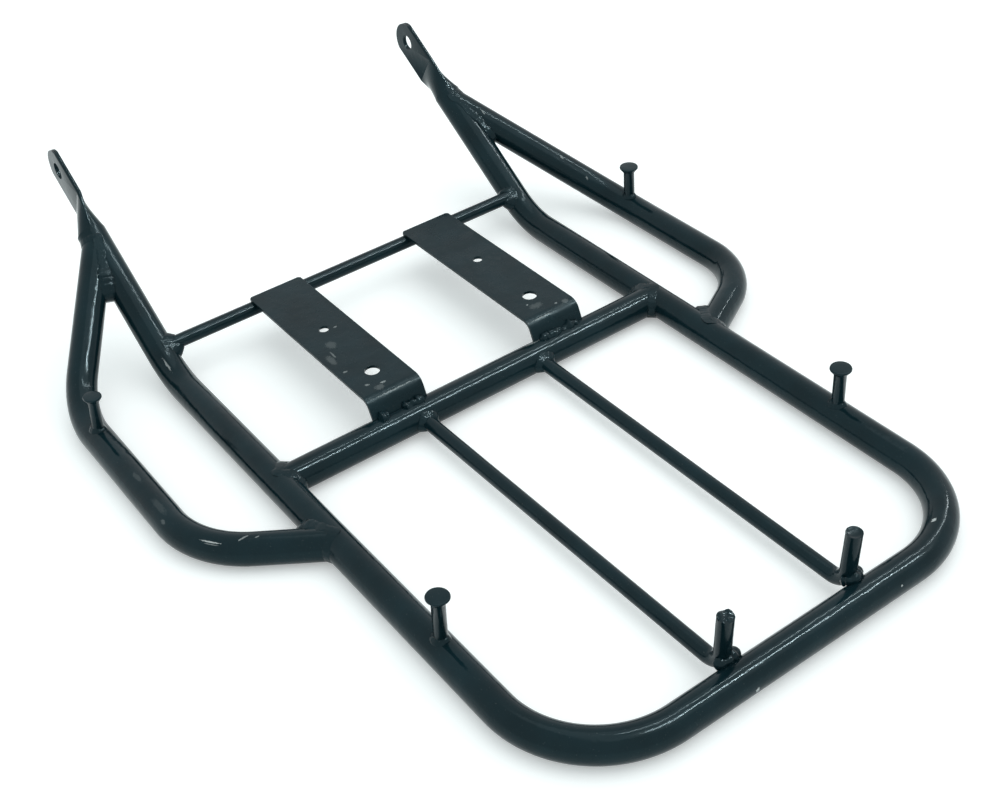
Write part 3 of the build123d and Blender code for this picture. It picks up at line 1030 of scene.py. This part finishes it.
# %% Table
table_lift = 0.29
work = bmesh.new()
bmesh.ops.create_grid(work, x_segments=1, y_segments=1, size=6.0)
floor_mesh = bpy.data.meshes.new("floor")
work.to_mesh(floor_mesh)
work.free()
floor = bpy.data.objects.new("floor", floor_mesh)
bpy.context.scene.collection.objects.link(floor)
white = bpy.data.materials.new("white_table")
white.use_nodes = True
table_shader = white.node_tree.nodes["Principled BSDF"]
table_shader.inputs["Base Color"].default_value = (0.93, 0.93, 0.93, 1)
table_shader.inputs["Roughness"].default_value = 0.9
table_shader.inputs["Specular IOR Level"].default_value = 0.0
table_shader.inputs["Emission Color"].default_value = (1, 1, 1, 1)


def seen_directly(nodes, links):
    """One for what the camera sees, itself or in a reflection, and nothing for the light."""
    ray = nodes.new("ShaderNodeLightPath")
    seen = combine(nodes, links, "MAXIMUM", ray.outputs["Is Camera Ray"], ray.outputs["Is Glossy Ray"])
    return combine(nodes, links, "MAXIMUM", seen, ray.outputs["Is Transmission Ray"])


table_nodes, table_links = white.node_tree.nodes, white.node_tree.links
table_seen = seen_directly(table_nodes, table_links)
lift = combine(table_nodes, table_links, "MULTIPLY", table_seen, table_lift)
table_links.new(lift, table_shader.inputs["Emission Strength"])
floor.data.materials.append(white)
print("table lift:", table_lift)

# %% [markdown]
# The room is white where it is seen or mirrored, and gives a plain, slightly cold light. A
# large soft lamp high on the right makes the shadows fall to the left. Two thin strips of
# light draw the white lines along the tubes. They are kept out of the diffuse light, so
# that they add only gloss.

# %% Room and lamps
room_light = (0.87, 0.98, 0.98, 1)
room_level = 0.86
world = bpy.data.worlds.new("room")
bpy.context.scene.world = world
world.use_nodes = True
room_nodes, room_links = world.node_tree.nodes, world.node_tree.links
room = room_nodes["Background"]
room_seen = seen_directly(room_nodes, room_links)
room_tone = room_nodes.new("ShaderNodeMix")
room_tone.data_type = "RGBA"
room_links.new(room_seen, room_tone.inputs["Factor"])
room_tone.inputs["A"].default_value = room_light
room_tone.inputs["B"].default_value = (1, 1, 1, 1)
room_links.new(room_tone.outputs["Result"], room.inputs["Color"])
room_gain = combine(room_nodes, room_links, "MULTIPLY", room_seen, 1 - room_level)
room_strength = combine(room_nodes, room_links, "ADD", room_gain, room_level)
room_links.new(room_strength, room.inputs["Strength"])


def lamp(name, place, aim, size, power):
    """A rectangular lamp that faces a point."""
    data = bpy.data.lights.new(name, "AREA")
    data.shape = "RECTANGLE"
    data.size, data.size_y = size
    data.energy = power
    holder = bpy.data.objects.new(name, data)
    holder.location = place
    holder.rotation_euler = (Vector(aim) - Vector(place)).to_track_quat("-Z", "Y").to_euler()
    bpy.context.scene.collection.objects.link(holder)
    return holder


lamps = {
    "ceiling": lamp("ceiling", (0.75, -0.2, 2.1), aim=(0, 0, 0), size=(2.4, 2.4), power=14),
    "across": lamp("strip_across", (0.65, -0.56, 1.36), aim=(0.65, 0, 0), size=(1.0, 0.022), power=16),
    "along": lamp("strip_along", (0.95, 0.10, 1.35), aim=(0, 0.10, 0), size=(0.022, 1.6), power=7),
}
for strip in ("across", "along"):
    lamps[strip].visible_diffuse = False
print("lamps:", {name: holder.data.energy for name, holder in lamps.items()})
